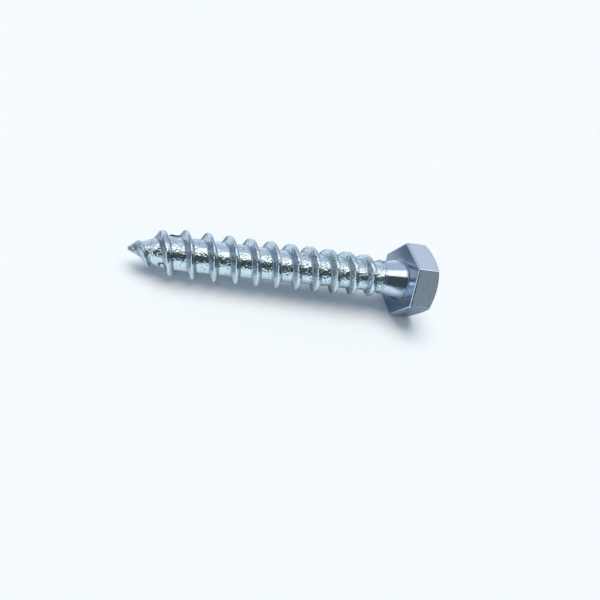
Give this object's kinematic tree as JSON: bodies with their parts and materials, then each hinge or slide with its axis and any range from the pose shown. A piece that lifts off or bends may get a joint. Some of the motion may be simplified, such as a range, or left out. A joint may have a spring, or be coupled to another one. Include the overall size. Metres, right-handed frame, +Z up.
{
  "type": "lag screw",
  "caption": "Hexagon-head lag screw: a coarse tapering wood thread with a gimlet point under a plain forged head, for fastening heavy pieces to timber.",
  "frame": {"origin": "on the screw's axis, at the centre of the bearing face under the head", "axes": "+Z up; the screw lies along X with its point towards -X and its head towards +X, and its axis tips down to the point by the rest angle; +Y is across the head, from corner to corner"},
  "size_m": [0.0556, 0.0146, 0.0131],
  "materials": {
    "zinc_plated_steel": "bright zinc plating, smooth on the head and slightly pitted between the thread crests"
  },
  "bodies": {
    "root": {"lag_screw": "zinc_plated_steel"}
  },
  "joints": []
}
